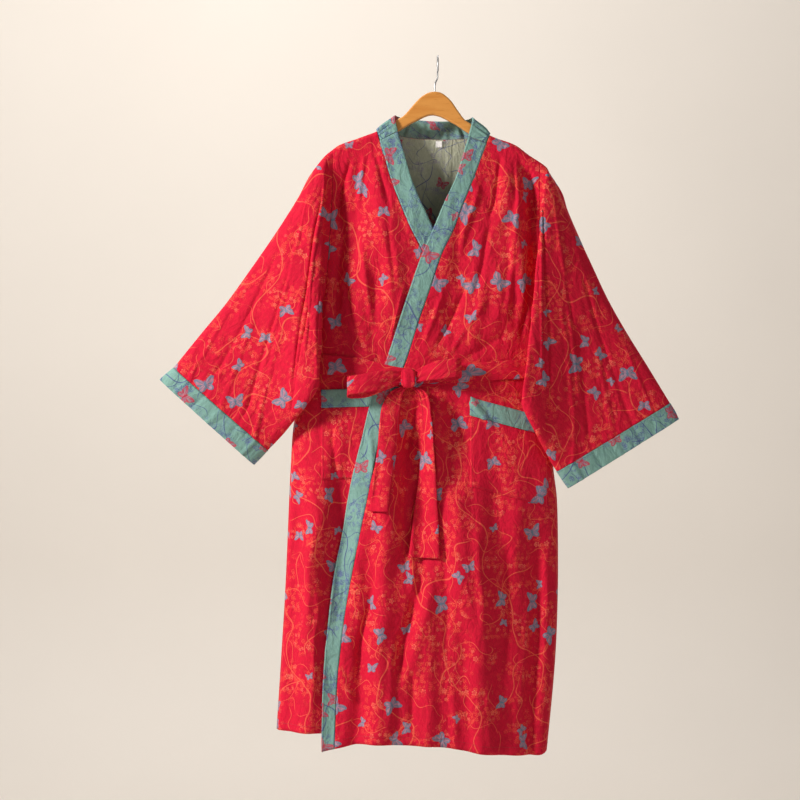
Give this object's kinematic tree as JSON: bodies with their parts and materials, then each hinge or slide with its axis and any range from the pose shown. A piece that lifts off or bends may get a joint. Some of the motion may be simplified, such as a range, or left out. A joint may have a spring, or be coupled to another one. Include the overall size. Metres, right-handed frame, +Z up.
{
  "type": "kimono bathrobe on a hanger",
  "caption": "Knee-length kimono bathrobe with wide sleeves, contrast bands and cuffs, patch pockets and a tied sash, hanging on a wooden hanger with a wire hook.",
  "frame": {"origin": "inside top of the hanger's hook, where a rail bears", "axes": "+Z up through the hook, the robe's front faces -Y, +X is the wearer's left"},
  "size_m": [0.9902, 0.1521, 1.33],
  "materials": {
    "robe_cloth": "soft double-woven cotton, red with a woven pattern",
    "band_cloth": "reverse side of the same cotton, teal with a woven pattern",
    "label_cloth": "white woven tape, blank",
    "hanger_wood": "clear satin varnish",
    "hook_steel": "bright wire"
  },
  "bodies": {
    "root": {"back": "robe_cloth", "front_left": "robe_cloth", "front_right": "robe_cloth", "sleeve_left": "robe_cloth", "sleeve_right": "robe_cloth", "cuff_left": "band_cloth", "cuff_right": "band_cloth", "band_left": "band_cloth", "band_right": "band_cloth", "neckband": "band_cloth", "pocket_left": "robe_cloth", "pocket_left_band": "band_cloth", "pocket_right": "robe_cloth", "pocket_right_band": "band_cloth", "belt_wrap": "robe_cloth", "belt_knot": "robe_cloth", "belt_loop_left": "robe_cloth", "belt_loop_right": "robe_cloth", "belt_tail_left": "robe_cloth", "belt_tail_right": "robe_cloth", "size_label": "label_cloth", "hanger_bar": "hanger_wood", "hanger_hook": "hook_steel"}
  },
  "joints": []
}
